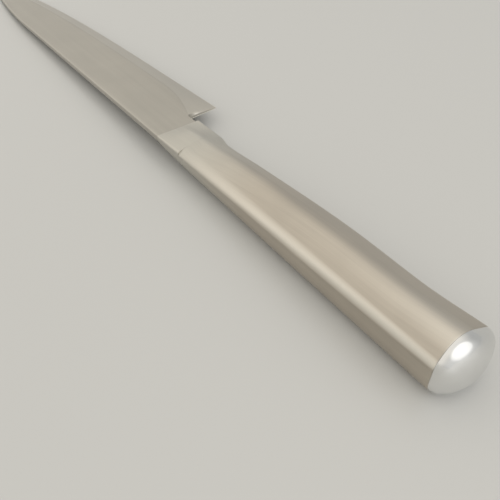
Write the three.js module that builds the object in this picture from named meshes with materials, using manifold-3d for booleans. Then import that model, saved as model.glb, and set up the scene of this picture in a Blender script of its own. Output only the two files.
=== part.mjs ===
// Yanagiba slicing knife, all of stainless steel, with a hollow welded handle. Sizes in millimetres.
// In the knife's own frame x runs from the butt to the tip, y points to the spine
// and z out of the front face. The knife is then laid down on its flat back.
import * as THREE from 'three';
import { mergeVertices } from 'three/addons/utils/BufferGeometryUtils.js';
import Module from 'manifold-3d';

const wasm = await Module();
wasm.setup();

// Blade: single bevel on the front face, flat back with a shallow hollow
const BLADE_LENGTH = 210;
const BLADE_THICKNESS = 2.4;
const TIP_THICKNESS = 1.6;
const SPINE_RISE = 10.2;
const HEEL_DROP = 21.5;
const HEEL_LEAN = 1.1;
const EDGE_LAND = 0.25;
const BEVEL_WIDTH = 7.5;
const BEVEL_STEP_AT_HEEL = 0.4;
const BEVEL_SWEEP = 30;
const SPINE_CURVE_LENGTH = 77;
const SPINE_CURVE_REACH = 42;
const SPINE_CURVE_DROP = 0.8;
const TIP_RISE = 0.5;
const EDGE_HEEL_REACH = 81;
const EDGE_HEEL_SLOPE = 0.046;
const EDGE_TIP_REACH = 58;
const EDGE_TIP_SLOPE = 0.3;
const HOLLOW_DEPTH = 0.25;
const HOLLOW_SPINE_RIM = 3;
const HOLLOW_EDGE_RIM = 4;
const HOLLOW_FROM_HEEL = 24;
const HOLLOW_FROM_TIP = 30;
const HOLLOW_END_FADE = 0.02;

// Neck between the blade and the bolster, with a thin tang that enters the bolster
const NECK_LENGTH = 6;
const NECK_DROP = 7;
const TANG_LENGTH = 14;
const TANG_WIDTH = 10;
const TANG_THICKNESS = 1.2;

// Bolster
const BOLSTER_LENGTH = 15;
const BOLSTER_DROP = 8.6;
const BOLSTER_FLANK_LENGTH = 10;
const RAMP_LENGTH = 6.5;
const RAMP_FRONT_HEIGHT = 2.8;
const RAMP_BACK_HEIGHT = 4;
const BOLSTER_SPIGOT_LENGTH = 8;

// Hollow handle of two pressed half shells
const HANDLE_LENGTH = 116;
const WALL = 1.2;
const BUTT_DROP = 12;
const WAIST_DROP = 10.7;
const WAIST_FROM_BUTT = 20;
const SWELL_DROP = 11.2;
const SWELL_FROM_BUTT = 46;
const GRIP_DROP = 9.1;
const GRIP_FROM_BOLSTER = 26;
const THROAT_DROP = 7.75;
const THROAT_FROM_BOLSTER = 6.5;
const JOINT_DROP = 8.9;

// Height of the front and back halves of the handle above and below the seam
const BUTT_FRONT_HEIGHT = 8.8;
const GRIP_FRONT_HEIGHT = 6.3;
const JOINT_FRONT_HEIGHT = 3.8;
const BUTT_BACK_HEIGHT = 11.3;
const GRIP_BACK_HEIGHT = 7.4;
const JOINT_BACK_HEIGHT = 5.5;

// The front half has a soft ridge that runs off the middle towards the spine at the butt
const RIDGE_AT_BUTT = 3.8;
const RIDGE_AT_RAMP = 0.3;
const RIDGE_FULLNESS = 1.45;
const BACK_FULLNESS = 3.2;
const RAMP_FULLNESS = 1.5;

// Row of raised grip dots on the back shell, angle in degrees from the seam on the spine side
const DOT_COUNT = 16;
const DOT_PITCH = 6.4;
const FIRST_DOT = 5.6;
const DOT_RADIUS = 1.2;
const DOT_HEIGHT = 0.5;
const DOT_ANGLE = 52;

// Domed butt cap and the weld beads inside the seams
const DOME_DEPTH = 6.5;
const CAP_SPIGOT_LENGTH = 7;
const BEAD_WIDTH = 2;
const BEAD_HEIGHT = 0.8;
const BEAD_END_CLEARANCE = 2;

// Clearance left between neighbouring pieces
const FIT_GAP = 0.3;

// Fineness of the curved surfaces
const SECTION_STEPS = 24;
const SHELL_STEP = 5;
const BOLSTER_STEPS = 10;
const DOME_RINGS = 9;
const DOME_TURN = 0.475 * Math.PI;
const EDGE_STEPS = 28;
const HOLLOW_STEPS = 24;
const HOLLOW_SIDES = 8;
const BEAD_SIDES = 6;
const DOT_SEGMENTS = 10;
const DOT_RINGS = 6;

// Places along the knife that follow from the sizes above
const BOLSTER_FRONT = HANDLE_LENGTH + BOLSTER_LENGTH;
const HEEL = BOLSTER_FRONT + NECK_LENGTH;
const TIP = HEEL + BLADE_LENGTH;
const PLATE_HALF = BLADE_THICKNESS / 2;
const SEAM_HALF = FIT_GAP / 2;

// Smooth curve through [x, value] stations that never overshoots them
function profile(stations) {
  const last = stations.length - 1;
  const secants = stations.slice(1).map(([x, value], i) => (value - stations[i][1]) / (x - stations[i][0]));
  const slopes = stations.map((station, i) => {
    if (i === 0) return secants[0];
    if (i === last) return secants[last - 1];
    const product = secants[i - 1] * secants[i];
    return product > 0 ? (2 * product) / (secants[i - 1] + secants[i]) : 0;
  });
  return (x) => {
    let i = 0;
    while (i < last - 1 && x > stations[i + 1][0]) i += 1;
    const width = stations[i + 1][0] - stations[i][0];
    const u = (x - stations[i][0]) / width;
    const blend = u * u * (3 - 2 * u);
    return stations[i][1] * (1 - blend) + stations[i + 1][1] * blend
      + width * u * (1 - u) * (slopes[i] * (1 - u) - slopes[i + 1] * u);
  };
}

// Belly line, side height, and the two halves of the section of the handle and bolster along x
const bellyDrop = profile([
  [0, BUTT_DROP],
  [WAIST_FROM_BUTT, WAIST_DROP],
  [SWELL_FROM_BUTT, SWELL_DROP],
  [HANDLE_LENGTH - GRIP_FROM_BOLSTER, GRIP_DROP],
  [HANDLE_LENGTH - THROAT_FROM_BOLSTER, THROAT_DROP],
  [HANDLE_LENGTH, JOINT_DROP],
  [BOLSTER_FRONT, BOLSTER_DROP],
]);
const sideHeight = profile([
  [HANDLE_LENGTH, SEAM_HALF],
  [BOLSTER_FRONT - BOLSTER_FLANK_LENGTH, PLATE_HALF],
  [BOLSTER_FRONT, PLATE_HALF],
]);
const heightProfile = (butt, grip, joint, ramp) => profile([
  [0, butt],
  [HANDLE_LENGTH - GRIP_FROM_BOLSTER, grip],
  [HANDLE_LENGTH, joint],
  [BOLSTER_FRONT - RAMP_LENGTH, ramp],
  [BOLSTER_FRONT, PLATE_HALF],
]);
const middle = (x) => (SPINE_RISE - bellyDrop(x)) / 2;
const FRONT = {
  sign: 1,
  height: heightProfile(BUTT_FRONT_HEIGHT, GRIP_FRONT_HEIGHT, JOINT_FRONT_HEIGHT, RAMP_FRONT_HEIGHT),
  crest: profile([[0, RIDGE_AT_BUTT], [BOLSTER_FRONT, RIDGE_AT_RAMP]]),
  fullness: profile([[0, RIDGE_FULLNESS], [BOLSTER_FRONT, RAMP_FULLNESS]]),
};
const BACK = {
  sign: -1,
  height: heightProfile(BUTT_BACK_HEIGHT, GRIP_BACK_HEIGHT, JOINT_BACK_HEIGHT, RAMP_BACK_HEIGHT),
  crest: middle,
  fullness: profile([
    [0, BACK_FULLNESS],
    [HANDLE_LENGTH - GRIP_FROM_BOLSTER, BACK_FULLNESS],
    [BOLSTER_FRONT, RAMP_FULLNESS],
  ]),
};

// Point of one half of the section at x, two superellipse quarters that meet at the crest of that half
// and stand on a side of the given height. Angle 0 is the spine and PI the belly,
// and inset shrinks the section on all sides.
function sectionPoint(x, angle, inset, side, half) {
  const power = 2 / half.fullness(x);
  const across = Math.abs(Math.cos(angle)) ** power;
  const up = Math.abs(Math.sin(angle)) ** power;
  const crest = half.crest(x);
  const edge = Math.cos(angle) > 0 ? SPINE_RISE - inset : inset - bellyDrop(x);
  const rise = side + up * (half.height(x) - inset - side);
  return new THREE.Vector3(x, crest + across * (edge - crest), half.sign * rise);
}

// Half section from spine to belly
function halfSection(x, inset, side, half) {
  return Array.from({ length: SECTION_STEPS + 1 }, (_, i) => (
    sectionPoint(x, Math.PI * i / SECTION_STEPS, inset, side, half)
  ));
}

// Closed ring of the whole section at x
function ring(x, inset, side) {
  return [...halfSection(x, inset, side, FRONT), ...halfSection(x, inset, side, BACK).reverse()];
}

// Indexed geometry from points and triangles, turned so that its faces point out
function solid(points, triangles) {
  let volume = 0;
  for (const [a, b, c] of triangles) {
    volume += points[a].dot(new THREE.Vector3().crossVectors(points[b], points[c]));
  }
  const facing = volume > 0 ? triangles : triangles.map(([a, b, c]) => [a, c, b]);
  const geometry = new THREE.BufferGeometry().setFromPoints(points);
  geometry.setIndex(facing.flat());
  return geometry;
}

// Solid through rings of equally many points. Each end is closed by a ladder of faces
// between the first half of its ring and the second.
function loft(rings) {
  const count = rings[0].length;
  const points = rings.flat();
  const triangles = [];
  for (let r = 0; r < rings.length - 1; r += 1) {
    for (let i = 0; i < count; i += 1) {
      const a = r * count + i;
      const b = r * count + (i + 1) % count;
      triangles.push([a, b, b + count], [a, b + count, a + count]);
    }
  }
  for (const [start, turn] of [[0, 1], [(rings.length - 1) * count, -1]]) {
    for (let i = 0; i + 1 <= count - 2 - i; i += 1) {
      const [a, b, c, d] = [i, i + 1, count - 2 - i, count - 1 - i].map((k) => start + k);
      const faces = b === c ? [[a, c, d]] : [[a, b, c], [a, c, d]];
      triangles.push(...faces.map((face) => (turn > 0 ? face.reverse() : face)));
    }
  }
  return solid(points, triangles);
}

// Solid wall between two matching rows of curves, an outer skin and an inner one
function wall(outer, inner) {
  return loft(outer.map((curve, i) => [...curve, ...inner[i].slice().reverse()]));
}

// Join and cut closed geometries
function toManifold(geometry) {
  const bare = geometry.clone();
  bare.deleteAttribute('normal');
  bare.deleteAttribute('uv');
  const merged = mergeVertices(bare);
  return new wasm.Manifold(new wasm.Mesh({
    numProp: 3,
    vertProperties: new Float32Array(merged.attributes.position.array),
    triVerts: new Uint32Array(merged.index.array),
  }));
}

function toGeometry(manifold) {
  const mesh = manifold.getMesh();
  const geometry = new THREE.BufferGeometry();
  geometry.setAttribute('position', new THREE.BufferAttribute(new Float32Array(mesh.vertProperties), 3));
  geometry.setIndex(new THREE.BufferAttribute(new Uint32Array(mesh.triVerts), 1));
  return geometry;
}

function box(length, width, height, x, y, z) {
  return new THREE.BoxGeometry(length, width, height).translate(x, y, z);
}

// Blade outline: edge and spine curves between the heel, whose foot leans towards the tip, and the tip
const edgeCurve = new THREE.CubicBezierCurve(
  new THREE.Vector2(HEEL + HEEL_LEAN, -HEEL_DROP),
  new THREE.Vector2(HEEL + EDGE_HEEL_REACH, -HEEL_DROP + EDGE_HEEL_REACH * EDGE_HEEL_SLOPE),
  new THREE.Vector2(TIP - EDGE_TIP_REACH, TIP_RISE - EDGE_TIP_REACH * EDGE_TIP_SLOPE),
  new THREE.Vector2(TIP, TIP_RISE),
);
const spineCurve = new THREE.QuadraticBezierCurve(
  new THREE.Vector2(TIP, TIP_RISE),
  new THREE.Vector2(TIP - SPINE_CURVE_LENGTH + SPINE_CURVE_REACH, SPINE_RISE - SPINE_CURVE_DROP),
  new THREE.Vector2(TIP - SPINE_CURVE_LENGTH, SPINE_RISE),
);
const edgePoints = edgeCurve.getPoints(EDGE_STEPS);
const spinePoints = spineCurve.getPoints(EDGE_STEPS);

// Height of a curve, given as points in order of x or against it, at x
function curveHeight(points, x) {
  const ordered = points[0].x < points.at(-1).x ? points : points.slice().reverse();
  const after = ordered.findIndex((point) => point.x >= x);
  if (after < 0) return ordered.at(-1).y;
  if (after === 0) return ordered[0].y;
  const { x: x0, y: y0 } = ordered[after - 1];
  const { x: x1, y: y1 } = ordered[after];
  return y0 + (y1 - y0) * (x - x0) / (x1 - x0);
}

// Flat plate of the blade and neck
function bladePlate() {
  const outline = new THREE.Shape();
  outline.moveTo(BOLSTER_FRONT + FIT_GAP, -NECK_DROP);
  outline.lineTo(HEEL, -NECK_DROP);
  edgePoints.forEach((point) => outline.lineTo(point.x, point.y));
  spinePoints.slice(1).forEach((point) => outline.lineTo(point.x, point.y));
  outline.lineTo(BOLSTER_FRONT + FIT_GAP, SPINE_RISE);
  outline.closePath();
  const plate = new THREE.ExtrudeGeometry(outline, { depth: BLADE_THICKNESS, bevelEnabled: false });
  return plate.translate(0, 0, -PLATE_HALF);
}

// Metal ground away above the bevel: the bevel runs along the edge and sweeps up to the notch at the heel
function bevelWaste() {
  const margin = BLADE_THICKNESS;
  const heelWidth = HEEL_DROP - NECK_DROP - BEVEL_STEP_AT_HEEL;
  const start = edgePoints[0].clone();
  start.x -= margin;
  const end = edgePoints.at(-1).clone().add(edgeCurve.getTangent(1).multiplyScalar(margin));
  return loft([start, ...edgePoints, end].map(({ x, y }) => {
    const sweep = Math.max(0, 1 - Math.max(0, x - HEEL) / BEVEL_SWEEP);
    const width = BEVEL_WIDTH + (heelWidth - BEVEL_WIDTH) * sweep * sweep;
    const slope = (BLADE_THICKNESS - EDGE_LAND) / width;
    const outer = y - margin;
    const inner = y + width + margin;
    const ceiling = PLATE_HALF + margin * (1 + slope);
    return [
      new THREE.Vector3(x, outer, EDGE_LAND - PLATE_HALF - margin * slope),
      new THREE.Vector3(x, inner, PLATE_HALF + margin * slope),
      new THREE.Vector3(x, inner, ceiling),
      new THREE.Vector3(x, outer, ceiling),
    ];
  }));
}

// Wedge ground off the front face, so that the blade thins from the heel to the tip
function taperWaste() {
  const slope = Math.atan((BLADE_THICKNESS - TIP_THICKNESS) / BLADE_LENGTH);
  const reach = 2 * BLADE_LENGTH;
  return new THREE.BoxGeometry(reach, reach, BLADE_LENGTH)
    .translate(reach / 2, 0, BLADE_LENGTH / 2)
    .rotateY(slope)
    .translate(HEEL, 0, PLATE_HALF);
}

// Shallow hollow in the back, which leaves a flat rim along the spine and the edge
function hollowWaste() {
  const from = HEEL + HOLLOW_FROM_HEEL;
  const to = TIP - HOLLOW_FROM_TIP;
  return loft(Array.from({ length: HOLLOW_STEPS + 1 }, (_, i) => {
    const along = i / HOLLOW_STEPS;
    const x = from + (to - from) * along;
    const turn = Math.PI * (HOLLOW_END_FADE + (1 - 2 * HOLLOW_END_FADE) * along);
    const fade = Math.sqrt(Math.sin(turn));
    const low = curveHeight(edgePoints, x) + HOLLOW_EDGE_RIM;
    const high = curveHeight(spinePoints, x) - HOLLOW_SPINE_RIM;
    const axis = (low + high) / 2;
    const half = fade * (high - low) / 2;
    const arch = Array.from({ length: HOLLOW_SIDES + 1 }, (__, k) => {
      const u = 2 * k / HOLLOW_SIDES - 1;
      return new THREE.Vector3(x, axis + half * u, fade * HOLLOW_DEPTH * (1 - u * u) - PLATE_HALF);
    });
    return [
      ...arch,
      new THREE.Vector3(x, axis + half, -BLADE_THICKNESS),
      new THREE.Vector3(x, axis - half, -BLADE_THICKNESS),
    ];
  }));
}

// Centre of the tang and of its pocket across the blade
const TANG_CENTRE = (SPINE_RISE - NECK_DROP) / 2;

function blade() {
  const overlap = NECK_LENGTH / 2;
  const tang = box(
    TANG_LENGTH + overlap, TANG_WIDTH, TANG_THICKNESS,
    BOLSTER_FRONT + (overlap - TANG_LENGTH) / 2, TANG_CENTRE, 0,
  );
  return toGeometry(toManifold(bladePlate())
    .subtract(toManifold(bevelWaste()))
    .subtract(toManifold(taperWaste()))
    .subtract(toManifold(hollowWaste()))
    .add(toManifold(tang)));
}

// Bolster with a pocket for the tang and a spigot that enters the shells
function bolster() {
  const spigotInset = WALL + FIT_GAP;
  const rings = [
    ring(HANDLE_LENGTH - BOLSTER_SPIGOT_LENGTH, spigotInset, SEAM_HALF),
    ring(HANDLE_LENGTH, spigotInset, SEAM_HALF),
  ];
  for (let i = 0; i <= BOLSTER_STEPS; i += 1) {
    const x = HANDLE_LENGTH + BOLSTER_LENGTH * i / BOLSTER_STEPS;
    rings.push(ring(x, 0, sideHeight(x)));
  }
  const pocketDepth = TANG_LENGTH + FIT_GAP;
  const pocket = box(
    2 * pocketDepth, TANG_WIDTH + 2 * FIT_GAP, TANG_THICKNESS + 2 * FIT_GAP,
    BOLSTER_FRONT, TANG_CENTRE, 0,
  );
  return toGeometry(toManifold(loft(rings)).subtract(toManifold(pocket)));
}

// Half shell of the handle, pressed from sheet
function halfShell(half) {
  const length = HANDLE_LENGTH - FIT_GAP;
  const steps = Math.ceil(length / SHELL_STEP);
  const stations = Array.from({ length: steps + 1 }, (_, i) => length * i / steps);
  return wall(
    stations.map((x) => halfSection(x, 0, SEAM_HALF, half)),
    stations.map((x) => halfSection(x, WALL, SEAM_HALF, half)),
  );
}

// Outward direction of the back half section at x
function backNormal(x, angle) {
  const step = 1 / SECTION_STEPS;
  const before = sectionPoint(x, angle - step, 0, SEAM_HALF, BACK);
  const after = sectionPoint(x, angle + step, 0, SEAM_HALF, BACK);
  return new THREE.Vector3(0, before.z - after.z, after.y - before.y).normalize();
}

// Back shell with its row of raised dots, where the underside turns up to the spine side
function backShell() {
  const angle = THREE.MathUtils.degToRad(DOT_ANGLE);
  const up = new THREE.Vector3(0, 1, 0);
  let shell = toManifold(halfShell(BACK));
  for (let i = 0; i < DOT_COUNT; i += 1) {
    const x = FIRST_DOT + DOT_PITCH * i;
    const place = sectionPoint(x, angle, 0, SEAM_HALF, BACK);
    const dot = new THREE.SphereGeometry(DOT_RADIUS, DOT_SEGMENTS, DOT_RINGS)
      .scale(1, DOT_HEIGHT / DOT_RADIUS, 1)
      .applyQuaternion(new THREE.Quaternion().setFromUnitVectors(up, backNormal(x, angle)))
      .translate(place.x, place.y, place.z);
    shell = shell.add(toManifold(dot));
  }
  return toGeometry(shell);
}

// Butt cap: a spigot inside the shells, a seat on their end and a polished dome
function buttCap() {
  const spigotInset = WALL + FIT_GAP;
  const rim = ring(0, 0, SEAM_HALF);
  const centre = new THREE.Vector3(0, middle(0), (BUTT_FRONT_HEIGHT - BUTT_BACK_HEIGHT) / 2);
  const seat = ring(0, spigotInset, SEAM_HALF).map(({ y, z }) => new THREE.Vector3(-FIT_GAP, y, z));
  const rings = [ring(CAP_SPIGOT_LENGTH, spigotInset, SEAM_HALF), seat];
  for (let i = 0; i <= DOME_RINGS; i += 1) {
    const rise = DOME_TURN * i / DOME_RINGS;
    const back = -FIT_GAP - DOME_DEPTH * Math.sin(rise);
    rings.push(rim.map((point) => point.clone().lerp(centre, 1 - Math.cos(rise)).setX(back)));
  }
  return loft(rings);
}

// Place across the handle where the front half has the given rise. Side 1 is the spine and -1 the belly.
function frontEdge(x, rise, inset, side) {
  const fullness = FRONT.fullness(x);
  const share = (rise - SEAM_HALF) / (FRONT.height(x) - inset - SEAM_HALF);
  const across = (1 - share ** fullness) ** (1 / fullness);
  const crest = FRONT.crest(x);
  const edge = side > 0 ? SPINE_RISE - inset : inset - bellyDrop(x);
  return crest + across * (edge - crest);
}

// Root bead of the weld along one seam, inside the shells
function seamWeld(side) {
  const from = CAP_SPIGOT_LENGTH + BEAD_END_CLEARANCE;
  const to = HANDLE_LENGTH - BOLSTER_SPIGOT_LENGTH - BEAD_END_CLEARANCE;
  const steps = Math.ceil((to - from) / SHELL_STEP);
  return loft(Array.from({ length: steps + 1 }, (_, i) => {
    const x = from + (to - from) * i / steps;
    const seat = frontEdge(x, BEAD_WIDTH / 2, WALL + FIT_GAP, side);
    return Array.from({ length: BEAD_SIDES + 1 }, (__, k) => {
      const turn = Math.PI * (k / BEAD_SIDES - 0.5);
      const inward = BEAD_HEIGHT * Math.cos(turn);
      return new THREE.Vector3(x, seat - side * inward, BEAD_WIDTH / 2 * Math.sin(turn));
    });
  }));
}

function steel(color, roughness) {
  return new THREE.MeshStandardMaterial({ color, roughness, metalness: 1 });
}

const pieces = [
  ['blade', blade(), steel(0xb3b0a6, 0.34)],
  ['bolster', bolster(), steel(0xb8b0a4, 0.36)],
  ['front_shell', halfShell(FRONT), steel(0xbcb3a6, 0.38)],
  ['back_shell', backShell(), steel(0xbcb3a6, 0.38)],
  ['butt_cap', buttCap(), steel(0xe6e6e2, 0.1)],
  ['spine_seam_weld', seamWeld(1), steel(0x9c978e, 0.6)],
  ['belly_seam_weld', seamWeld(-1), steel(0x9c978e, 0.6)],
];

// The knife lies on its back: it touches the surface at the butt and at the tip
const lying = new THREE.Group();
lying.rotation.y = Math.atan2(BUTT_BACK_HEIGHT - PLATE_HALF, TIP);
for (const [name, geometry, material] of pieces) {
  const mesh = new THREE.Mesh(geometry, material);
  mesh.name = name;
  lying.add(mesh);
}
const knife = new THREE.Group();
knife.add(lying);
knife.updateMatrixWorld(true);

// Origin on the surface, under the middle of the knife
const bounds = new THREE.Box3().setFromObject(knife, true);
const centre = bounds.getCenter(new THREE.Vector3());
lying.position.set(-centre.x, -centre.y, -bounds.min.z);

export default knife;
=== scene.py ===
"""Looks of the all-steel yanagiba knife: ground blade, bolster, hollow satin handle and polished butt.

Sizes are in millimetres in the knife's own frame: x runs from the butt to the tip, y to the spine,
z out of the front face. lay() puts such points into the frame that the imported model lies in, in metres.
"""
import math

import bpy
import numpy as np
from mathutils import Matrix, Vector


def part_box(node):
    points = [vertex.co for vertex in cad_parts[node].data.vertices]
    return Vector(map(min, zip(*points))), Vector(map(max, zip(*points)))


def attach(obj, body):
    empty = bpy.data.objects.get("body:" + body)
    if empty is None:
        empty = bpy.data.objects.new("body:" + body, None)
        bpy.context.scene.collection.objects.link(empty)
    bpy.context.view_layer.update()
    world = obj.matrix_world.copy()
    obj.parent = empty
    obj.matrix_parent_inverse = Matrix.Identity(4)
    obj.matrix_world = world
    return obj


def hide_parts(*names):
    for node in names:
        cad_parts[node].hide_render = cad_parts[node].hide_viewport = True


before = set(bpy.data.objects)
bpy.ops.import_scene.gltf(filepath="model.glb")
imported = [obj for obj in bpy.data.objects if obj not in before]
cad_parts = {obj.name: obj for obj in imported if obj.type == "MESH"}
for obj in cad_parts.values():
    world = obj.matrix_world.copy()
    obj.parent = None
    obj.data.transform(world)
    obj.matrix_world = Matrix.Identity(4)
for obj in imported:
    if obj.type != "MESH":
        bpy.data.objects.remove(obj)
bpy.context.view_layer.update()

MM = 0.001

# Blade
BLADE_LENGTH = 210.0
BLADE_THICKNESS = 2.4
TIP_THICKNESS = 1.6
SPINE_RISE = 10.2
HEEL_DROP = 21.5
HEEL_LEAN = 1.1
HEEL_LEAN_REACH = 20.0
EDGE_LAND = 0.25
BEVEL_WIDTH = 7.5
BEVEL_STEP_AT_HEEL = 0.4
BEVEL_SWEEP = 30.0
# Share of pale steel on the bevel, a painted sheen that keeps its tone near the face's
BEVEL_PAINTED_SHEEN = 0.2
SPINE_CURVE_LENGTH = 77.0
SPINE_CURVE_REACH = 42.0
SPINE_CURVE_DROP = 0.8
TIP_RISE = 0.5
EDGE_HEEL_REACH = 81.0
EDGE_HEEL_SLOPE = 0.046
EDGE_TIP_REACH = 58.0
EDGE_TIP_SLOPE = 0.3
HOLLOW_DEPTH = 0.25
HOLLOW_SPINE_RIM = 3.0
HOLLOW_EDGE_RIM = 4.0
HOLLOW_FROM_HEEL = 24.0
HOLLOW_FROM_TIP = 30.0
LEAST_HOLLOW = 0.001
SPINE_ROUND = 0.35
SPINE_WEAR = 0.1
HEEL_ROUND = 0.45
CHOIL_ROUND = 1.1
CHOIL_REACH = 8.0
CHOIL_FADE = 3.0
HEEL_ROUND_SHARE = 0.6
NOTCH_ROUND = 1.1
POINT_LENGTH = 12.0
POINT_BLUNT = 0.1

# Towards the point the spine's round and the front face get smaller: the most that the round takes of the
# thickness and of the width, and the least width of the face, in millimetres and as a share of the blade's
ROUND_OF_THICKNESS = 0.35
ROUND_OF_WIDTH = 0.3
LEAST_FACE = 0.2
LEAST_FACE_SHARE = 0.25

# Stations along the blade, and points in each part of its rings
LINE_STEPS = 400
QUARTER_STEPS = 12
NECK_STEPS = 6
BODY_STEPS = 150
POINT_STEPS = 30
POINT_CROWDING = 1.6
SPINE_STEPS = 13
FACE_STEPS = 18
BEVEL_STEPS = 60
HOLLOW_STEPS = 41

# Neck, bolster, handle and butt
NECK_LENGTH = 6.0
NECK_DROP = 7.0
NECK_EDGE = 0.3
NECK_CORNER = 0.05
NECK_STEEPNESS = 1e6
HANDLE_LENGTH = 116.0
BOLSTER_LENGTH = 15.0
WALL = 1.2
BUTT_BACK_HEIGHT = 11.3
DOME_DEPTH = 6.5
DOME_LIP = 0.12
DOME_FULLNESS = 2.1
DOME_TOP = (1.0, -3.0)
RIM_ROUND = 0.3
SPIGOT_LENGTH = 6.0
SPIGOT_SHARE = 0.86
HAIRLINE = 0.015

# How the points on the neck's lower side are spread: shares of the points, and of the height that they take
NECK_SIDE = ((0, 0.3, 1), (0, 0.8, 1))

# Stations along the handle, bolster and butt. The dome's rings stop just short of a quarter turn
RIM_STEPS = 7
FRONT_STEPS = 140
BACK_PLAIN_STEPS = 94
BOLSTER_STEPS = 60
DOME_STEPS = 48
DOME_TURN = 0.985

# Row of raised dots under the handle
DOT_COUNT = 16
DOT_PITCH = 6.4
FIRST_DOT = 5.6
DOT_RADIUS = 1.2
DOT_HEIGHT = 0.45
DOT_STEPS = 15
DOT_MARGIN = 1.1
DOT_CLEARING = 1.2

# Places along the knife
BOLSTER_FRONT = HANDLE_LENGTH + BOLSTER_LENGTH
HEEL = BOLSTER_FRONT + NECK_LENGTH
TIP = HEEL + BLADE_LENGTH
PLATE_HALF = BLADE_THICKNESS / 2
TILT = math.atan2(BUTT_BACK_HEIGHT - PLATE_HALF, TIP)

# Camera of the photograph in the knife's frame: place in millimetres, angles in radians, focal length in
# pixels, nearest sight in metres
IMAGE_SIZE = 500
CAMERA_PLACE = (-36.154, 91.054, 114.455)
CAMERA_YAW = -0.638
CAMERA_PITCH = 0.758
CAMERA_ROLL = -0.008
CAMERA_FOCAL = 560.04
SENSOR = 36.0
NEAREST_SIGHT = 0.01


def turned(vectors):
    """Directions of the knife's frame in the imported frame: turned about y by the tilt of the lying knife."""
    x, y, z = np.moveaxis(np.asarray(vectors, float), -1, 0)
    c, s = math.cos(TILT), math.sin(TILT)
    return np.stack([x * c + z * s, y, z * c - x * s], -1)


def knife_origin():
    """Place of the knife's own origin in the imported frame, from the blade's box: the tip is its last point
    in x, the spine its last in y, and the butt's underside is the lowest point of all."""
    _, blade_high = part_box("blade")
    tip = turned((TIP, 0, EDGE_LAND - PLATE_HALF))
    return np.array([blade_high.x / MM - tip[0], blade_high.y / MM - SPINE_RISE,
                     BUTT_BACK_HEIGHT * math.cos(TILT)])


ORIGIN = knife_origin()


def lay(points):
    """Points of the knife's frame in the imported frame, in metres."""
    return (turned(points) + ORIGIN) * MM


def profile(*stations):
    """Smooth curve through (x, value) stations that never overshoots them: cubic pieces whose slope at a
    station is the harmonic mean of the slopes beside it, and zero where these differ in sign."""
    xs, values = np.array(stations, float).T
    secants = np.diff(values) / np.diff(xs)
    product = secants[:-1] * secants[1:]
    total = np.where(product > 0, secants[:-1] + secants[1:], 1.0)
    inner = np.where(product > 0, 2 * product / total, 0.0)
    slopes = np.concatenate([secants[:1], inner, secants[-1:]])

    def value_at(x):
        x = np.asarray(x, float)
        i = np.clip(np.searchsorted(xs, x) - 1, 0, len(xs) - 2)
        width = xs[i + 1] - xs[i]
        u = (x - xs[i]) / width
        blend = u * u * (3 - 2 * u)
        bend = width * u * (1 - u) * (slopes[i] * (1 - u) - slopes[i + 1] * u)
        return values[i] * (1 - blend) + values[i + 1] * blend + bend

    return value_at


def smooth_step(x):
    """0 below 0, 1 above 1, and a smooth rise between."""
    u = np.clip(x, 0, 1)
    return u * u * (3 - 2 * u)


# Meshes from rings


def tube_faces(rows, columns, wall):
    """Quads and triangles of a closed tube of rings. Quads join every ring to the next. A wall's ends are
    closed by a ladder of quads between the first and the second half of the end ring, and a solid's by a fan
    of triangles about a middle point. The two middle points follow those of the rings."""
    r = np.arange(rows - 1)[:, None]
    c = np.arange(columns)[None, :]
    n = (c + 1) % columns
    side = np.stack([r * columns + c, r * columns + n, (r + 1) * columns + n, (r + 1) * columns + c], -1)
    last = (rows - 1) * columns
    if wall:
        k = np.arange(1, columns // 2)
        ladder = np.stack([k - 1, k, columns - 1 - k, columns - k], -1)
        return np.concatenate([side.reshape(-1, 4), ladder[:, ::-1], ladder + last]), np.zeros((0, 3), int)
    middle = np.full_like(c[0], rows * columns)
    start = np.stack([middle, n[0], c[0]], -1)
    end = np.stack([middle + 1, last + c[0], last + n[0]], -1)
    return side.reshape(-1, 4), np.concatenate([start, end])


def outward(points, quads, triangles):
    """List of all the faces, turned round where they enclose a negative volume."""
    halves = np.concatenate([quads[:, [0, 1, 2]], quads[:, [0, 2, 3]], triangles])
    a, b, c = (points[halves[:, k]] for k in range(3))
    step = 1 if np.einsum("ij,ij->", a, np.cross(b, c)) > 0 else -1
    return quads[:, ::step].tolist() + triangles[:, ::step].tolist()


def make_piece(name, rings, material, grain, wear_and_painted_highlight, sharp_degrees=32.0, wall=False):
    """Object of a closed tube of rings, smooth but for edges sharper than an angle. grain holds millimetres
    along and across the finish at each point, and wear_and_painted_highlight the share of edge wear and of
    painted highlight that the material reads."""
    rows, columns = rings.shape[:2]

    def listed(values):
        """The values of all points in one row, and after them a solid's two middle points."""
        flat = values.reshape(rows * columns, -1)
        middles = values[[0, -1]].mean(axis=1).reshape(2, -1)
        return flat if wall else np.concatenate([flat, middles])

    points = listed(rings)
    faces = outward(points, *tube_faces(rows, columns, wall))
    mesh = bpy.data.meshes.new(name)
    mesh.from_pydata(lay(points).tolist(), [], faces)
    mesh.shade_smooth()
    mesh.set_sharp_from_angle(angle=math.radians(sharp_degrees))
    corners = np.zeros(len(mesh.loops), np.int32)
    mesh.loops.foreach_get("vertex_index", corners)
    layer = mesh.uv_layers.new(name="grain")
    layer.data.foreach_set("uv", listed(grain)[corners].astype(np.float32).ravel())
    attribute = mesh.attributes.new("wear_and_painted_highlight", "FLOAT", "POINT")
    attribute.data.foreach_set("value", listed(wear_and_painted_highlight).astype(np.float32).ravel())
    mesh.materials.append(material)
    piece = bpy.data.objects.new(name, mesh)
    bpy.context.scene.collection.objects.link(piece)
    return piece


# Section of the handle and bolster: a polygon with soft corners, whose corners run along the knife

# Places along the handle and bolster where the section is given
WAIST = 20.0
PALM = 46.0
GRIP = HANDLE_LENGTH - 26
THROAT = HANDLE_LENGTH - 6.5
RAMP = BOLSTER_FRONT - 6.5

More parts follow.
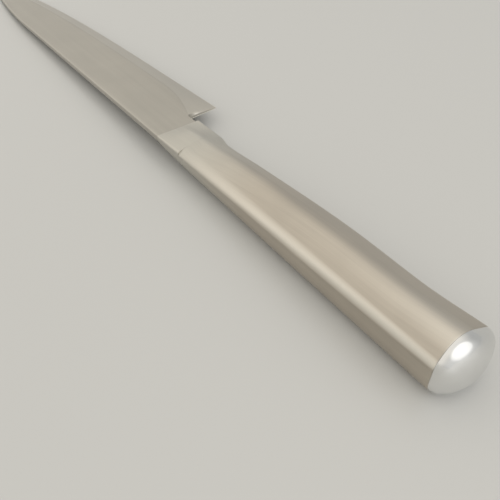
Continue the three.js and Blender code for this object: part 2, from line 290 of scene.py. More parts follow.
belly = profile((0, 12.0), (WAIST, 10.7), (PALM, 11.2), (GRIP, 9.1), (THROAT, 7.75), (HANDLE_LENGTH, 8.9),
                (BOLSTER_FRONT, 8.6))
spine = profile((0, 9.9), (HANDLE_LENGTH, 10.2), (BOLSTER_FRONT, 10.2))
ridge_across = profile((0, 4.1), (HANDLE_LENGTH, 0.0), (BOLSTER_FRONT, -0.6))
ridge_height = profile((0, 11.2), (GRIP, 7.4), (THROAT, 4.9), (HANDLE_LENGTH, 4.0), (RAMP, 2.7),
                       (BOLSTER_FRONT, PLATE_HALF))
belly_side = profile((0, 1.5), (GRIP, 1.2), (HANDLE_LENGTH, 1.0), (BOLSTER_FRONT, PLATE_HALF))
shoulder = profile((0, 2.6), (PALM, 2.4), (GRIP, 2.1), (HANDLE_LENGTH, 1.7), (BOLSTER_FRONT, PLATE_HALF))
back_depth = profile((0, BUTT_BACK_HEIGHT), (GRIP, 7.4), (HANDLE_LENGTH, 5.6), (RAMP, 4.0),
                     (BOLSTER_FRONT, PLATE_HALF))
back_edge = profile((0, 10.2), (GRIP, 6.6), (HANDLE_LENGTH, 4.6), (RAMP, 3.0), (BOLSTER_FRONT, PLATE_HALF))
dot_across = profile((0, 7.9), (PALM, 7.4), (HANDLE_LENGTH, 6.3))

# How far each soft corner reaches along its two sides
ridge_soft = profile((0, 9.5), (PALM, 8.0), (GRIP, 5.0), (HANDLE_LENGTH, 1.6), (BOLSTER_FRONT, 0.4))
ridge_soft_ahead = profile((0, 6.5), (PALM, 6.0), (GRIP, 4.6), (HANDLE_LENGTH, 1.6), (BOLSTER_FRONT, 0.4))
belly_soft = profile((0, 2.8), (GRIP, 2.4), (HANDLE_LENGTH, 1.2), (BOLSTER_FRONT, 0.4))
shell_soft = profile((0, 1.9), (PALM, 2.8), (GRIP, 3.9), (HANDLE_LENGTH, 4.2), (BOLSTER_FRONT, 4.2))
bolster_soft = profile((0, 1.1), (HANDLE_LENGTH, 1.1), (BOLSTER_FRONT, 0.5))
back_turn = profile((0, 5.7), (GRIP, 5.0), (HANDLE_LENGTH, 3.4), (BOLSTER_FRONT, 0.4))
back_flat = profile((0, 3.3), (GRIP, 3.0), (BOLSTER_FRONT, 0.4))

# The most that a soft corner takes of the side that ends at a seam
FRONT_SIDE_SHARE = 0.95
BACK_SIDE_SHARE = 0.8

# Painted highlights on the handle, as shares of the pale steel: a bright line along the shoulder, and a bright
# patch on the ridge near the butt
shoulder_painted_highlight = profile((0, 1.0), (PALM, 0.75), (GRIP, 0.45), (HANDLE_LENGTH, 0.05))
ridge_painted_highlight = profile((0, 0.45), (WAIST, 0.18), (PALM, 0.03), (HANDLE_LENGTH, 0.0))

# Points in each soft corner and each straight run of the section
CORNER_STEPS = 18
FRONT_RUN = 7
BACK_STEPS = 34
BACK_RUN = 5


def soft_polyline(corners, before, after, steps, run):
    """Curve along a polyline, for every x at once. Each inner corner is replaced by a parabola that leaves
    the polyline at a distance before the corner and joins it again after, and each straight stretch holds
    run points. corners has shape (x, corner, 2), before and after shape (x, inner corner)."""
    here = corners[:, 1:-1]
    back = corners[:, :-2] - here
    ahead = corners[:, 2:] - here
    start = here + back / np.linalg.norm(back, axis=-1, keepdims=True) * before[..., None]
    end = here + ahead / np.linalg.norm(ahead, axis=-1, keepdims=True) * after[..., None]
    s = np.linspace(0, 1, steps)[:, None]
    t = np.linspace(0, 1, run + 2)[:, None]
    parts = []
    last = corners[:, 0]
    for k in range(here.shape[1]):
        parts.append((last[:, None] * (1 - t) + start[:, k][:, None] * t)[:, :-1])
        p, q, r = start[:, k][:, None], here[:, k][:, None], end[:, k][:, None]
        parts.append(((1 - s) ** 2 * p + 2 * s * (1 - s) * q + s ** 2 * r)[:, :-1])
        last = end[:, k]
    parts.append(last[:, None] * (1 - t) + corners[:, -1][:, None] * t)
    return np.concatenate(parts, axis=1)


def polyline(*corners):
    """Corners, each an (across, up) pair of arrays over x, as one array of shape (x, corner, 2)."""
    return np.stack([np.stack(np.broadcast_arrays(*corner), -1) for corner in corners], axis=1)


def front_half(x, shoulder_soft, seam=0.0):
    """Front half section at each x from the belly seam over the ridge and the shoulder to the spine seam."""
    corners = polyline(
        (-belly(x), seam),
        (-belly(x), belly_side(x)),
        (ridge_across(x), ridge_height(x)),
        (spine(x), shoulder(x)),
        (spine(x), seam),
    )
    soft = shoulder_soft(x)
    soft_ahead = np.minimum(soft, FRONT_SIDE_SHARE * shoulder(x))
    before = np.stack([FRONT_SIDE_SHARE * belly_side(x), ridge_soft(x), soft], -1)
    after = np.stack([belly_soft(x), ridge_soft_ahead(x), soft_ahead], -1)
    return soft_polyline(corners, before, after, CORNER_STEPS, FRONT_RUN)


def back_half(x, seam=0.0):
    """Back half section at each x from the spine seam round the underside to the belly seam."""
    middle = (spine(x) - belly(x)) / 2
    corners = polyline(
        (spine(x), seam),
        (spine(x), -back_edge(x)),
        (middle, -back_depth(x)),
        (-belly(x), -back_edge(x)),
        (-belly(x), seam),
    )
    turn = np.minimum(back_turn(x), BACK_SIDE_SHARE * back_edge(x))
    reach = np.stack([turn, back_flat(x), turn], -1)
    return soft_polyline(corners, reach, reach, BACK_STEPS, BACK_RUN)


def distance_along(curve):
    """Distance along each curve of a (x, point, 2) array."""
    step = np.linalg.norm(np.diff(curve, axis=1), axis=-1)
    return np.concatenate([np.zeros((len(curve), 1)), np.cumsum(step, axis=1)], axis=1)


def curve_normals(curve):
    """Unit normals of (x, point, 2) curves, a quarter turn left of their direction."""
    tangent = np.gradient(curve, axis=1)
    tangent /= np.linalg.norm(tangent, axis=-1, keepdims=True)
    return np.stack([-tangent[..., 1], tangent[..., 0]], -1)


def with_x(x, curve):
    """Points in three dimensions from stations and their curves."""
    return np.concatenate([np.broadcast_to(x[:, None, None], curve.shape[:2] + (1,)), curve], axis=-1)


def corner_wear_and_highlight(belly_share=0.0, ridge_share=0.0, shoulder_share=0.0):
    """Share of wear and painted highlight at each point of a front half section: highest in the middle of
    each softened corner.
    """
    hump = np.sin(np.pi * np.linspace(0, 1, CORNER_STEPS))[:-1]
    plain = np.zeros(FRONT_RUN + 1)
    return np.concatenate([plain, belly_share * hump, plain, ridge_share * hump,
                           plain, shoulder_share * hump, plain, [0.0]])


# Materials. Tones are a dark and a pale colour. Hairs and bands are cycles per millimetre along the grain and
# across it. From TONE_CHANGE on, the handle's tones turn to those of the bolster

# Pale steel where edges wear and where highlights are painted
PALE_WEAR_AND_HIGHLIGHT_STEEL = (0.88, 0.84, 0.76)
HANDLE_TONES = ((0.47, 0.428, 0.369), (0.59, 0.538, 0.463))
HANDLE_ROUGHNESS = 0.38
HANDLE_HAIRS = (0.03, 2.4)
HANDLE_BANDS = (0.012, 0.5)
TONE_CHANGE = 76.0
BOLSTER_TONES = ((0.505, 0.488, 0.443), (0.62, 0.6, 0.545))
BOLSTER_ROUGHNESS = 0.36
BOLSTER_HAIRS = (0.04, 2.4)
BOLSTER_BANDS = (0.02, 0.5)
BLADE_TONES = ((0.41, 0.391, 0.352), (0.5, 0.477, 0.429))
BLADE_ROUGHNESS = 0.36
BLADE_HAIRS = (0.02, 2.2)
BLADE_BANDS = (0.008, 0.35)
POLISHED_TONES = ((0.75, 0.75, 0.74), (0.81, 0.81, 0.8))
POLISHED_ROUGHNESS = (0.15, 0.21)
WIPE_ROUGHNESS = 0.02
WELD_TONES = ((0.3, 0.28, 0.25), (0.5, 0.48, 0.45))
WELD_ROUGHNESS = (0.45, 0.65)

# What bands, blotches and hairs give to the tone of satin steel, how far hairs, blotches, wear and painted
# highlights change its roughness, and how deep the hairs are in millimetres
BAND_TONE = 0.25
BLOTCH_TONE = 0.35
HAIR_TONE = 0.4
HAIR_ROUGHNESS = 0.04
BLOTCH_ROUGHNESS = 0.02
WEAR_AND_HIGHLIGHT_ROUGHNESS = -0.05
HAIR_STRENGTH = 0.2
HAIR_DEPTH = 0.01

# Cycles per metre of the cloudy patterns in the finishes, and their detail
BLOTCHES = 60.0
HAZE = 120.0
WIPE_MARKS = 900.0
WELD_SCALE = 700.0
CLOUD_DETAIL = 3.0


def node(tree, kind, **settings):
    """New node of a kind, with its settings."""
    made = tree.nodes.new(kind)
    for key, value in settings.items():
        setattr(made, key, value)
    return made


def streaks(tree, along_scale, across_scale, detail):
    """Noise drawn out along the grain of the piece, with scales in cycles per millimetre."""
    grain = node(tree, "ShaderNodeUVMap", uv_map="grain")
    mapping = node(tree, "ShaderNodeMapping")
    mapping.inputs["Scale"].default_value = (along_scale, across_scale, 1.0)
    noise = node(tree, "ShaderNodeTexNoise")
    noise.inputs["Scale"].default_value = 1.0
    noise.inputs["Detail"].default_value = detail
    tree.links.new(grain.outputs["UV"], mapping.inputs["Vector"])
    tree.links.new(mapping.outputs["Vector"], noise.inputs["Vector"])
    return noise.outputs["Fac"]


def along_grain(tree):
    """Millimetres along the grain of the piece."""
    grain = node(tree, "ShaderNodeUVMap", uv_map="grain")
    split = node(tree, "ShaderNodeSeparateXYZ")
    tree.links.new(grain.outputs["UV"], split.inputs["Vector"])
    return split.outputs["X"]


def clouds(tree, scale):
    """Soft blotches in object space, with a scale in cycles per metre, for the uneven hand finish."""
    place = node(tree, "ShaderNodeTexCoord")
    noise = node(tree, "ShaderNodeTexNoise")
    noise.inputs["Scale"].default_value = scale
    noise.inputs["Detail"].default_value = CLOUD_DETAIL
    tree.links.new(place.outputs["Object"], noise.inputs["Vector"])
    return noise.outputs["Fac"]


def ramped(tree, value, low, high, from_low=0.3, from_high=0.7):
    """The value stretched from its usual range to low and high."""
    spread = node(tree, "ShaderNodeMapRange")
    spread.inputs["From Min"].default_value = from_low
    spread.inputs["From Max"].default_value = from_high
    spread.inputs["To Min"].default_value = low
    spread.inputs["To Max"].default_value = high
    tree.links.new(value, spread.inputs["Value"])
    return spread.outputs["Result"]


def add(tree, a, b):
    """Sum of two values."""
    total = node(tree, "ShaderNodeMath", operation="ADD")
    tree.links.new(a, total.inputs[0])
    tree.links.new(b, total.inputs[1])
    return total.outputs["Value"]


def mixed(tree, share, first, second):
    """Colour between two, by a share. Each is a colour or what another node gives."""
    mix = node(tree, "ShaderNodeMix", data_type="RGBA")
    tree.links.new(share, mix.inputs["Factor"])
    for socket, colour in (("A", first), ("B", second)):
        if isinstance(colour, tuple):
            mix.inputs[socket].default_value = (*colour, 1.0)
        else:
            tree.links.new(colour, mix.inputs[socket])
    return mix.outputs["Result"]


def metal(name):
    """New metal material with its tree and shader."""
    material = bpy.data.materials.new(name)
    material.use_nodes = True
    shader = material.node_tree.nodes["Principled BSDF"]
    shader.inputs["Metallic"].default_value = 1.0
    return material, material.node_tree, shader


def satin_steel(name, tones, roughness, hairs, bands, tones_ahead=None):
    """Brushed steel: fine hairlines and broader bands along the grain, clouds in the finish, and
    smoother, paler metal where edges wear and where highlights are painted. tones are its dark and its pale
    colour. Where there are tones ahead, they take over little by little towards the bolster."""
    material, tree, shader = metal(name)
    hair_lines = streaks(tree, *hairs, detail=4.0)
    band_lines = streaks(tree, *bands, detail=2.0)
    blotches = clouds(tree, BLOTCHES)
    # Share of edge wear and of painted highlight, drawn as paler, smoother steel
    wear_and_painted_highlight = node(tree, "ShaderNodeAttribute", attribute_name="wear_and_painted_highlight").outputs["Fac"]
    tone = add(tree, ramped(tree, band_lines, 0.0, BAND_TONE), ramped(tree, blotches, 0.0, BLOTCH_TONE))
    tone = add(tree, tone, ramped(tree, hair_lines, 0.0, HAIR_TONE))
    steel = mixed(tree, tone, *tones)
    if tones_ahead:
        ahead = ramped(tree, along_grain(tree), 0.0, 1.0, TONE_CHANGE, HANDLE_LENGTH)
        steel = mixed(tree, ahead, steel, mixed(tree, tone, *tones_ahead))
    tree.links.new(mixed(tree, wear_and_painted_highlight, steel, PALE_WEAR_AND_HIGHLIGHT_STEEL), shader.inputs["Base Color"])
    rough = add(tree, ramped(tree, hair_lines, roughness - HAIR_ROUGHNESS, roughness + HAIR_ROUGHNESS),
                ramped(tree, blotches, -BLOTCH_ROUGHNESS, BLOTCH_ROUGHNESS))
    rough = add(tree, rough, ramped(tree, wear_and_painted_highlight, 0.0, WEAR_AND_HIGHLIGHT_ROUGHNESS, 0.0, 1.0))
    tree.links.new(rough, shader.inputs["Roughness"])
    bump = node(tree, "ShaderNodeBump")
    bump.inputs["Strength"].default_value = HAIR_STRENGTH
    bump.inputs["Distance"].default_value = HAIR_DEPTH * MM
    tree.links.new(hair_lines, bump.inputs["Height"])
    tree.links.new(bump.outputs["Normal"], shader.inputs["Normal"])
    return material


def polished_steel(name):
    """Mirror polish with faint wipe marks and a little haze."""
    material, tree, shader = metal(name)
    haze = clouds(tree, HAZE)
    marks = clouds(tree, WIPE_MARKS)
    tree.links.new(mixed(tree, ramped(tree, haze, 0.0, 1.0), *POLISHED_TONES), shader.inputs["Base Color"])
    rough = add(tree, ramped(tree, haze, *POLISHED_ROUGHNESS), ramped(tree, marks, 0.0, WIPE_ROUGHNESS))
    tree.links.new(rough, shader.inputs["Roughness"])
    return material


def weld_steel(name):
    """Grey, scaly metal of a weld's root."""
    material, tree, shader = metal(name)
    scale = clouds(tree, WELD_SCALE)
    tree.links.new(mixed(tree, ramped(tree, scale, 0.0, 1.0), *WELD_TONES), shader.inputs["Base Color"])
    tree.links.new(ramped(tree, scale, *WELD_ROUGHNESS), shader.inputs["Roughness"])
    return material


handle_steel = satin_steel("handle_steel", HANDLE_TONES, HANDLE_ROUGHNESS, HANDLE_HAIRS, HANDLE_BANDS,
                           tones_ahead=BOLSTER_TONES)
bolster_steel = satin_steel("bolster_steel", BOLSTER_TONES, BOLSTER_ROUGHNESS, BOLSTER_HAIRS, BOLSTER_BANDS)
blade_steel = satin_steel("blade_steel", BLADE_TONES, BLADE_ROUGHNESS, BLADE_HAIRS, BLADE_BANDS)
butt_steel = polished_steel("polished_steel")
bead_steel = weld_steel("weld_steel")


# Blade


def bezier(points, steps):
    """Points of a Bezier curve of any degree, by its Bernstein weights."""
    points = np.array(points, float)
    degree = len(points) - 1
    t = np.linspace(0, 1, steps)[:, None]
    k = np.arange(degree + 1)[None, :]
    choose = np.array([math.comb(degree, i) for i in range(degree + 1)])
    return (choose * t ** k * (1 - t) ** (degree - k)) @ points


EDGE_LINE = bezier([
    (HEEL, -HEEL_DROP),
    (HEEL + EDGE_HEEL_REACH, -HEEL_DROP + EDGE_HEEL_REACH * EDGE_HEEL_SLOPE),
    (TIP - EDGE_TIP_REACH, TIP_RISE - EDGE_TIP_REACH * EDGE_TIP_SLOPE),
    (TIP, TIP_RISE),
], LINE_STEPS)
SPINE_LINE = bezier([
    (TIP - SPINE_CURVE_LENGTH, SPINE_RISE),
    (TIP - SPINE_CURVE_LENGTH + SPINE_CURVE_REACH, SPINE_RISE - SPINE_CURVE_DROP),
    (TIP, TIP_RISE),
], LINE_STEPS)


def blade_stations():
    """Stations along the neck and the blade, close together in the notch's round, at the heel and at the
    point, with a flag for those in the neck."""
    quarter = np.linspace(0, np.pi / 2, QUARTER_STEPS)
    notch = HEEL - NOTCH_ROUND * (1 - np.sin(quarter))
    neck = np.concatenate([np.linspace(BOLSTER_FRONT + HAIRLINE, notch[0], NECK_STEPS)[:-1], notch])
    heel = HEEL + 2 * HAIRLINE + (HEEL_ROUND + CHOIL_ROUND) * (1 - np.cos(quarter))
    body = np.linspace(heel[-1], TIP - POINT_LENGTH, BODY_STEPS)[1:]
    to_point = np.linspace(1, 0, POINT_STEPS)[1:] ** POINT_CROWDING
    point = TIP - POINT_BLUNT - (POINT_LENGTH - POINT_BLUNT) * to_point
    x = np.concatenate([neck, heel, body, point])
    return x, x <= HEEL


def blade_piece():
    """Blade and neck as closed rings across the knife: round the spine, down the front face to the bevel's
    line, down the bevel to the edge, and up the hollowed back. In the neck the bevel's share of each ring
    lies on the neck's lower side, and at the heel it opens into the square notch."""
    x, in_neck = blade_stations()
    top = np.interp(x, SPINE_LINE[:, 0], SPINE_LINE[:, 1])
    low = np.interp(x, EDGE_LINE[:, 0], EDGE_LINE[:, 1])
    reach = np.maximum(0, x - HEEL)
    front = PLATE_HALF - (BLADE_THICKNESS - TIP_THICKNESS) * reach / BLADE_LENGTH
    sweep = np.clip(1 - reach / BEVEL_SWEEP, 0, 1) ** 2
    heel_width = HEEL_DROP - NECK_DROP - BEVEL_STEP_AT_HEEL
    slope = (BLADE_THICKNESS - EDGE_LAND) / (BEVEL_WIDTH + (heel_width - BEVEL_WIDTH) * sweep)
    edge_height = EDGE_LAND - PLATE_HALF
    line = low + (front - edge_height) / slope
    notch = np.clip((x - HEEL + NOTCH_ROUND) / NOTCH_ROUND, 0, 1)
    neck_low = -NECK_DROP - NOTCH_ROUND * (1 - np.sqrt(1 - notch ** 2))

    # The neck has no bevel: its lower side rises all but upright to the front face
    line = np.where(in_neck, neck_low + NECK_CORNER, line)
    low = np.where(in_neck, neck_low, low)
    slope = np.where(in_neck, NECK_STEEPNESS, slope)

    def ground(y):
        """Height of the front face, or of the bevel where it is lower."""
        above = np.maximum(y - low[:, None], 0)
        return np.minimum(front[:, None], edge_height + above * slope[:, None])

    def row(y, z):
        """Points with the stations' x, across and up as given."""
        return np.stack(np.broadcast_arrays(x[:, None], y, z), -1)

    t = top[:, None]
    width = t - low[:, None]
    thickness = ground(t) + PLATE_HALF
    r = np.minimum(np.minimum(SPINE_ROUND, ROUND_OF_THICKNESS * thickness), ROUND_OF_WIDTH * width)
    crown = ground(t - r)
    line = np.minimum(line[:, None], t - r - np.minimum(LEAST_FACE, LEAST_FACE_SHARE * width))
    quarter = np.linspace(0, np.pi / 2, SPINE_STEPS)[None, :]
    spine_back = row(t - r + r * np.sin(quarter), -PLATE_HALF + r - r * np.cos(quarter))
    spine_front = row(t - r + r * np.cos(quarter), crown - r + r * np.sin(quarter))
    u = np.linspace(0, 1, FACE_STEPS)[None, 1:]
    line_height = np.where(in_neck[:, None], front[:, None], ground(line))
    face = row(t - r + (line - t + r) * u, crown + (line_height - crown) * u)
    v = np.linspace(0, 1, BEVEL_STEPS)[None, 1:]
    foot = np.where(in_neck, NECK_EDGE - PLATE_HALF, edge_height)[:, None]
    neck_side = np.interp(v, *NECK_SIDE)
    bevel = row(line + (low[:, None] - line) * np.where(in_neck[:, None], 1 - (1 - neck_side) ** 2, v),
                line_height + (foot - line_height) * np.where(in_neck[:, None], neck_side, v))
    land = row(low[:, None], np.full((1, 1), -PLATE_HALF))
    w = np.linspace(0, 1, HOLLOW_STEPS)[None, 1:-1]
    y_back = low[:, None] + (t - r - low[:, None]) * w
    back = row(y_back, -PLATE_HALF + hollow(x, low, top, y_back))
    rings = np.concatenate([spine_back, spine_front, face, bevel, land, back], axis=1)

    # The heel's face meets the front and the back with a round, a quarter ellipse drawn in towards the
    # plate's middle. Beside the notch, where the finger lies, it is fullest, on the front only, and polished,
    # its pale steel there also a painted highlight for the glint on the choil
    down = -NECK_DROP - NOTCH_ROUND - rings[..., 1]
    choil = 1 - smooth_step(down / CHOIL_REACH)
    radius = HEEL_ROUND + CHOIL_ROUND * choil
    gone = np.clip(1 - reach[:, None] / radius, 0, 1)
    in_heel = np.where(in_neck[:, None], 0.0, smooth_step(down / CHOIL_FADE))
    half = (ground(rings[..., 1]) + PLATE_HALF) / 2
    still = -PLATE_HALF + half * (1 - in_heel * choil)
    depth = np.minimum(radius / half, HEEL_ROUND_SHARE)
    below = in_heel * depth * (1 - np.sqrt(1 - gone ** 2))
    rings[..., 2] -= below * (rings[..., 2] - still)
    # Pale steel on the choil's round: polish and a painted highlight
    wear_and_painted_highlight = in_heel * choil * gone

    # The heel's foot leans towards the tip, and the lean dies out along the blade
    foot_share = np.clip((-NECK_DROP - rings[..., 1]) / (HEEL_DROP - NECK_DROP), 0, 1)
    rings[..., 0] += HEEL_LEAN * foot_share * (1 - smooth_step(reach / HEEL_LEAN_REACH))[:, None]

    spine_count = spine_back.shape[1] + spine_front.shape[1]
    wear_and_painted_highlight[:, :spine_count] = SPINE_WEAR
    bevel_at = spine_count + face.shape[1]
    edge_at = bevel_at + bevel.shape[1]
    # The bevel is painted paler, a painted sheen that brings its tone near the face's
    wear_and_painted_highlight[~in_neck, bevel_at:edge_at] = np.maximum(wear_and_painted_highlight[~in_neck, bevel_at:edge_at], BEVEL_PAINTED_SHEEN)
    wear_and_painted_highlight[:, edge_at - 1:edge_at + 1] = 1.0
    return make_piece("ground_blade", rings, blade_steel, rings[..., :2], wear_and_painted_highlight, sharp_degrees=20.0)


def hollow(x, low, top, y):
    """Depth of the shallow hollow in the back: a parabola across it, whose width and depth grow from nothing
    at both ends with the square root of a sine."""
    start = HEEL + HOLLOW_FROM_HEEL
    end = TIP - HOLLOW_FROM_TIP
    swell = np.sqrt(np.sin(np.pi * np.clip((x - start) / (end - start), 0, 1)))[:, None]
    lower_rim = (low + HOLLOW_EDGE_RIM)[:, None]
    upper_rim = (top - HOLLOW_SPINE_RIM)[:, None]
    half = np.maximum(swell * (upper_rim - lower_rim) / 2, LEAST_HOLLOW)
    return np.clip(1 - ((y - (lower_rim + upper_rim) / 2) / half) ** 2, 0, 1) * HOLLOW_DEPTH * swell


# Handle shells, bolster and butt


def rim_inset(x):
    """How far the skin is drawn in at its butt end, a quarter circle."""
    return RIM_ROUND - np.sqrt(RIM_ROUND ** 2 - np.clip(RIM_ROUND - x, 0, RIM_ROUND) ** 2)


RIM_STATIONS = RIM_ROUND * (1 - np.cos(np.linspace(0, np.pi / 2, RIM_STEPS)))[:-1]


def shell_piece(name, x, outer, inner, wear_and_painted_highlight):
    """Closed wall between an outer skin and an inner one, both curves over the same stations."""
    rings = with_x(x, np.concatenate([outer, inner[:, ::-1]], axis=1))
    around = distance_along(outer)
    grain = np.stack([rings[..., 0], np.concatenate([around, around[:, ::-1]], axis=1)], -1)
    wear = np.concatenate([wear_and_painted_highlight, np.zeros_like(wear_and_painted_highlight)], axis=1)
    return make_piece(name, rings, handle_steel, grain, wear, wall=True)


def front_shell_piece():
    """Front half of the handle's skin, with its soft ridge."""
    x = np.concatenate([RIM_STATIONS, np.linspace(RIM_ROUND, HANDLE_LENGTH - HAIRLINE, FRONT_STEPS)])
    outer = front_half(x, shell_soft, HAIRLINE)
    normal = curve_normals(outer)
    inner = outer - WALL * normal
    outer = outer - rim_inset(x)[:, None, None] * normal
    # Painted highlights: a pale line along the shoulder, fainter on the belly's corner, and a pale patch on
    # the ridge near the butt
    wear_and_painted_highlight = shoulder_painted_highlight(x)[:, None] * corner_wear_and_highlight(belly_share=0.1, shoulder_share=1.0)
    wear_and_painted_highlight = wear_and_painted_highlight + ridge_painted_highlight(x)[:, None] * corner_wear_and_highlight(ridge_share=1.0)
    return shell_piece("front_skin", x, outer, inner, wear_and_painted_highlight)


def back_stations():
    """Stations along the back shell, close together at each dot."""
    dots = FIRST_DOT + DOT_PITCH * np.arange(DOT_COUNT)
    near = (dots[:, None] + DOT_RADIUS * np.linspace(-DOT_MARGIN, DOT_MARGIN, DOT_STEPS)[None, :]).ravel()
    plain = np.linspace(RIM_ROUND, HANDLE_LENGTH - HAIRLINE, BACK_PLAIN_STEPS)
    clear = np.abs(plain[:, None] - dots[None, :]).min(1) > DOT_CLEARING * DOT_RADIUS
    return np.unique(np.concatenate([RIM_STATIONS, plain[clear], near]))


def back_shell_piece():
    """Back half of the handle's skin. Each dot is a smooth swelling of the skin, highest in its middle:
    height times the square of one minus the squared distance from the middle over the radius."""
    x = back_stations()
    outer = back_half(x, -HAIRLINE)
    normal = curve_normals(outer)
    inner = outer - WALL * normal
    around = distance_along(outer)
    target = dot_across(x)[:, None]
    half = outer.shape[1] // 2
    past = (outer[:, :half, 0] > target).sum(1)
    rows = np.arange(len(x))
    place = around[rows, past]
    nearest = np.clip(np.round((x - FIRST_DOT) / DOT_PITCH), 0, DOT_COUNT - 1) * DOT_PITCH + FIRST_DOT
    far = np.hypot((x - nearest)[:, None], around - place[:, None]) / DOT_RADIUS
    swell = np.clip(1 - far ** 2, 0, 1) ** 2
    outer = outer + (DOT_HEIGHT * swell - rim_inset(x)[:, None])[..., None] * normal
    # The dots are drawn in paler, smoother steel, as far as they swell
    return shell_piece("back_skin", x, outer, inner, swell)


def whole_section(x, shoulder_soft):
    """Closed section at each x: the front half, then the back half."""
    return np.concatenate([front_half(x, shoulder_soft), back_half(x)[:, 1:-1]], axis=1)


def bolster_piece():
    """Bolster: the handle's section carried on to the blade, sinking to the plate, with crisp edges."""
    x = np.linspace(HANDLE_LENGTH, BOLSTER_FRONT, BOLSTER_STEPS)
    section = whole_section(x, bolster_soft)
    rings = with_x(x, section)
    grain = np.stack([rings[..., 0], distance_along(section)], -1)
    wear_and_painted_highlight = np.zeros(rings.shape[:2])
    # The bolster's front corners are drawn in paler steel, most on the belly's corner
    front_paleness = corner_wear_and_highlight(belly_share=0.15, ridge_share=0.05, shoulder_share=0.12)
    wear_and_painted_highlight[:, :len(front_paleness)] = front_paleness
    return make_piece("bolster_block", rings, bolster_steel, grain, wear_and_painted_highlight)


def butt_piece():
    """Butt: a spigot in the shells, then a dome whose depth is a quarter superellipse over the section at
    the handle's end. Rings shrink with a power of the cosine of the turn, blend into an ellipse and shift to
    the dome's top, which lies a little below the middle."""
    section = whole_section(np.zeros(1), shell_soft)[0]
    low, high = section.min(0), section.max(0)
    centre = (low + high) / 2
    radii = (high - low) / 2
    offset = section - centre
    heading = offset / np.linalg.norm(offset, axis=1, keepdims=True)
    oval = heading / np.linalg.norm(heading / radii, axis=1, keepdims=True)
    turn = np.linspace(0, DOME_TURN * np.pi / 2, DOME_STEPS)[:, None, None]
    blend = smooth_step(turn / (np.pi / 2))
    lip = 1 - DOME_LIP / radii.mean()
    power = 2 / DOME_FULLNESS
    share = np.cos(turn) ** power
    dome = centre + lip * share * ((1 - blend) * offset + blend * oval) + (1 - share) * np.array(DOME_TOP)
    spigot = centre + SPIGOT_SHARE * np.stack([offset, offset])
    rim_x = -HAIRLINE
    x = np.concatenate([[SPIGOT_LENGTH, rim_x], rim_x - DOME_DEPTH * np.sin(turn[:, 0, 0]) ** power])
    rings = with_x(x, np.concatenate([spigot, dome]))
    unworn = np.zeros(rings.shape[:2])
    return make_piece("butt_dome", rings, butt_steel, rings[..., 1:], unworn, sharp_degrees=50.0)


for piece, cad_node, slot in (
    (blade_piece(), "blade", "blade_steel"),
    (front_shell_piece(), "front_shell", "handle_steel"),
    (back_shell_piece(), "back_shell", "handle_steel"),
    (bolster_piece(), "bolster", "bolster_steel"),
    (butt_piece(), "butt_cap", "polished_steel"),
):
    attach(piece, "root")
    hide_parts(cad_node)

for bead in ("spine_seam_weld", "belly_seam_weld"):
    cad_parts[bead].data.materials.clear()
    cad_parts[bead].data.materials.append(bead_steel)


# Floor, light and camera, in metres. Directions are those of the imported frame

FLOOR_HALF = 2.5
FLOOR_COLOUR = (0.575, 0.575, 0.56, 1.0)
FLOOR_ROUGHNESS = 0.28

# The room's low light, and glows over it. Each has its direction, the cosines of the angles from there at
# which it starts and is full, and its colour
LOW_SKY = (0.5, 0.5, 0.488)
OVERHEAD_GLOW = ((0.3, 0.35, 0.89), (0.0, 0.68), (0.97, 0.935, 0.865))
SPINE_GLOW = ((0.45, 0.84, 0.3), (0.7, 0.98), (0.95, 0.91, 0.84))
BUTT_GLOW = ((-0.86, 0.0, 0.52), (0.4, 1.0), (0.82, 0.815, 0.8))

SOFTBOX_TOWARD = (-0.83, 0.02, 0.56)
SOFTBOX_DISTANCE = 1.2
SOFTBOX_SIZE = (2.5, 1.45)
SOFTBOX_RADIANCE = 0.55
SOFTBOX_COLOUR = (1.0, 0.99, 0.97)


def floor():
    """Plain pale floor under the knife."""
    h = FLOOR_HALF
    mesh = bpy.data.meshes.new("floor")
    mesh.from_pydata([(-h, -h, 0), (h, -h, 0), (h, h, 0), (-h, h, 0)], [], [(0, 1, 2, 3)])
    material = bpy.data.materials.new("pale_floor")
    material.use_nodes = True
    shader = material.node_tree.nodes["Principled BSDF"]
    shader.inputs["Base Color"].default_value = FLOOR_COLOUR
    shader.inputs["Roughness"].default_value = FLOOR_ROUGHNESS
    mesh.materials.append(material)
    made = bpy.data.objects.new("floor", mesh)
    bpy.context.scene.collection.objects.link(made)


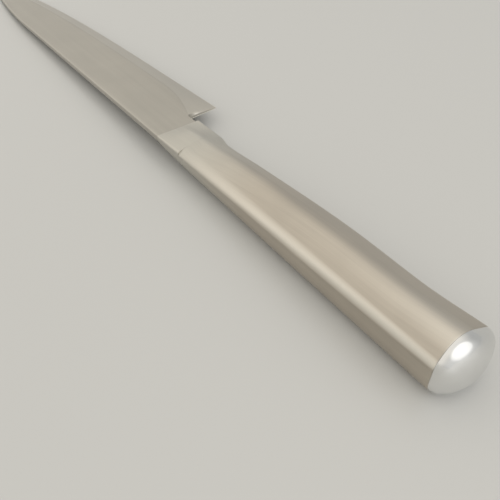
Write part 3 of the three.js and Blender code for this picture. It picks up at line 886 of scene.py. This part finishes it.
def softbox():
    """Soft oval light that faces the handle from behind the butt. Its power follows from how bright its face
    is to be."""
    light = bpy.data.lights.new("butt_softbox", "AREA")
    light.shape = "ELLIPSE"
    light.size, light.size_y = SOFTBOX_SIZE
    light.energy = SOFTBOX_RADIANCE * math.pi * (math.pi / 4 * SOFTBOX_SIZE[0] * SOFTBOX_SIZE[1])
    light.color = SOFTBOX_COLOUR
    lamp = bpy.data.objects.new("butt_softbox", light)
    direction = Vector(SOFTBOX_TOWARD).normalized()
    lamp.location = Vector(lay((GRIP, 0, 0))) + SOFTBOX_DISTANCE * direction
    lamp.rotation_euler = (-direction).to_track_quat("-Z", "Y").to_euler()
    bpy.context.scene.collection.objects.link(lamp)


def leaning(tree, direction):
    """How far each direction of the room leans to a given one, as the cosine of the angle between them."""
    place = node(tree, "ShaderNodeTexCoord")
    lean = node(tree, "ShaderNodeVectorMath", operation="DOT_PRODUCT")
    lean.inputs[1].default_value = Vector(direction).normalized()
    tree.links.new(place.outputs["Generated"], lean.inputs[0])
    return lean.outputs["Value"]


def studio():
    """Soft room: a sky that is pale overhead and dimmer low on the edge's side, with glows beside the spine
    and behind the butt."""
    world = bpy.data.worlds.new("studio")
    bpy.context.scene.world = world
    world.use_nodes = True
    tree = world.node_tree
    sky = LOW_SKY
    for direction, reach, colour in (OVERHEAD_GLOW, SPINE_GLOW, BUTT_GLOW):
        share = ramped(tree, leaning(tree, direction), 0.0, 1.0, *reach)
        sky = mixed(tree, share, sky, colour)
    tree.links.new(sky, tree.nodes["Background"].inputs["Color"])


def camera():
    """The photograph's view: forward, right and up from yaw, pitch and roll in the knife's frame."""
    forward = np.array([math.cos(CAMERA_PITCH) * math.cos(CAMERA_YAW),
                        math.cos(CAMERA_PITCH) * math.sin(CAMERA_YAW), -math.sin(CAMERA_PITCH)])
    level = np.array([math.sin(CAMERA_YAW), -math.cos(CAMERA_YAW), 0.0])
    rise = np.cross(level, forward)
    c, s = math.cos(CAMERA_ROLL), math.sin(CAMERA_ROLL)
    axes = turned(np.stack([c * level + s * rise, c * rise - s * level, -forward]))
    data = bpy.data.cameras.new("camera")
    data.sensor_width = SENSOR
    data.lens = CAMERA_FOCAL / IMAGE_SIZE * SENSOR
    data.clip_start = NEAREST_SIGHT
    made = bpy.data.objects.new("camera", data)
    turn = Matrix(axes.T.tolist()).to_4x4()
    made.matrix_world = Matrix.Translation(Vector(lay(CAMERA_PLACE))) @ turn
    bpy.context.scene.collection.objects.link(made)
    bpy.context.scene.camera = made


floor()
studio()
softbox()
camera()
bpy.context.scene.view_settings.view_transform = "Standard"
